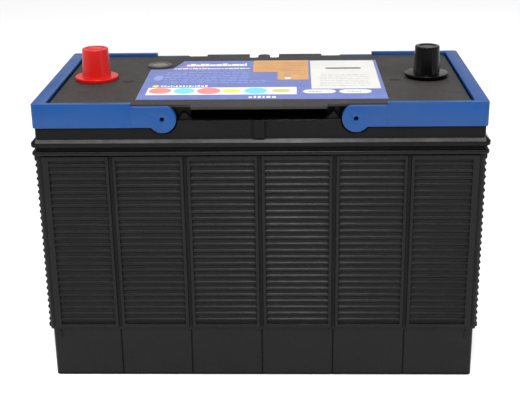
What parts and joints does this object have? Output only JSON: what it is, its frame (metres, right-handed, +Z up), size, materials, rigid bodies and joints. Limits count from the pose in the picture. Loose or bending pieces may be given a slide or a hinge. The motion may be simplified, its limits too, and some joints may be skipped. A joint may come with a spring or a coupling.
{
  "type": "deep cycle battery",
  "caption": "Flooded deep cycle battery with ribbed black case, swing-up bail handles, capped tapered lead posts and a charge indicator eye.",
  "frame": {"origin": "centre of the container's flat base", "axes": "+X along the case from the positive (red cap) end to the negative (black cap) end, +Y to the rear face, +Z up"},
  "size_m": [0.33, 0.173, 0.24],
  "materials": {
    "case_black": "black moulded polypropylene, semi gloss",
    "deck_grey": "dark grey moulded polypropylene, fine matte texture",
    "porous_disc": "sintered porous disc, matte",
    "handle_blue": "mid blue moulded polypropylene, satin",
    "lead": "cast lead alloy, dull grey",
    "cap_red": "soft red plastic, satin",
    "cap_black": "soft black plastic, satin",
    "indicator_grey": "grey moulded plastic",
    "seal_rubber": "black rubber",
    "indicator_clear": "clear acrylic",
    "cage_black": "black plastic",
    "ball_green": "green plastic",
    "label_film": "printed plastic film, satin",
    "sticker_white": "printed white plastic film",
    "sticker_orange": "printed orange plastic film",
    "plate_brown": "lead grid with dark brown oxide paste",
    "plate_grey": "lead grid with grey sponge lead paste",
    "separator": "microporous polyethylene envelope"
  },
  "bodies": {
    "battery": {"container": "case_black", "cover": "case_black", "manifold_cover": "deck_grey", "flame_arrestor": "porous_disc", "positive_post": "lead", "negative_post": "lead", "positive_bushing": "lead", "negative_bushing": "lead", "indicator_housing": "indicator_grey", "indicator_seal_ring": "seal_rubber", "indicator_window": "indicator_clear", "indicator_rod": "indicator_clear", "indicator_cage": "cage_black", "label_main": "label_film", "sticker_white": "sticker_white", "sticker_orange": "sticker_orange", "positive_plates_cell_1": "plate_brown", "negative_plates_cell_1": "plate_grey", "separators_cell_1": "separator", "positive_plates_cell_2": "plate_brown", "negative_plates_cell_2": "plate_grey", "separators_cell_2": "separator", "positive_plates_cell_3": "plate_brown", "negative_plates_cell_3": "plate_grey", "separators_cell_3": "separator", "positive_plates_cell_4": "plate_brown", "negative_plates_cell_4": "plate_grey", "separators_cell_4": "separator", "positive_plates_cell_5": "plate_brown", "negative_plates_cell_5": "plate_grey", "separators_cell_5": "separator", "positive_plates_cell_6": "plate_brown", "negative_plates_cell_6": "plate_grey", "separators_cell_6": "separator", "cell_weld_1": "lead", "cell_weld_2": "lead", "cell_weld_3": "lead", "cell_weld_4": "lead", "cell_weld_5": "lead"},
    "handle_right": {"handle_right": "handle_blue"},
    "handle_left": {"handle_left": "handle_blue"},
    "red_cap": {"positive_cap_red": "cap_red"},
    "black_cap": {"negative_cap_black": "cap_black"},
    "float_ball": {"indicator_ball": "ball_green"}
  },
  "joints": [
    {"name": "handle_right_swing", "type": "hinge", "parent": "battery", "child": "handle_right", "pos_m": [0.069, 0, 0.206], "axis": [0, -1, 0], "range_deg": [0, 125]},
    {"name": "handle_left_swing", "type": "hinge", "parent": "battery", "child": "handle_left", "pos_m": [-0.069, 0, 0.206], "axis": [0, 1, 0], "range_deg": [0, 125]},
    {"name": "red_cap_lift", "type": "slide", "parent": "battery", "child": "red_cap", "axis": [0, 0, 1], "range_m": [0, 0.045]},
    {"name": "black_cap_lift", "type": "slide", "parent": "battery", "child": "black_cap", "axis": [0, 0, 1], "range_m": [0, 0.045]},
    {"name": "float_ball_roll", "type": "slide", "parent": "battery", "child": "float_ball", "axis": [0.9063, 0, 0.4226], "range_m": [0, 0.006]}
  ]
}
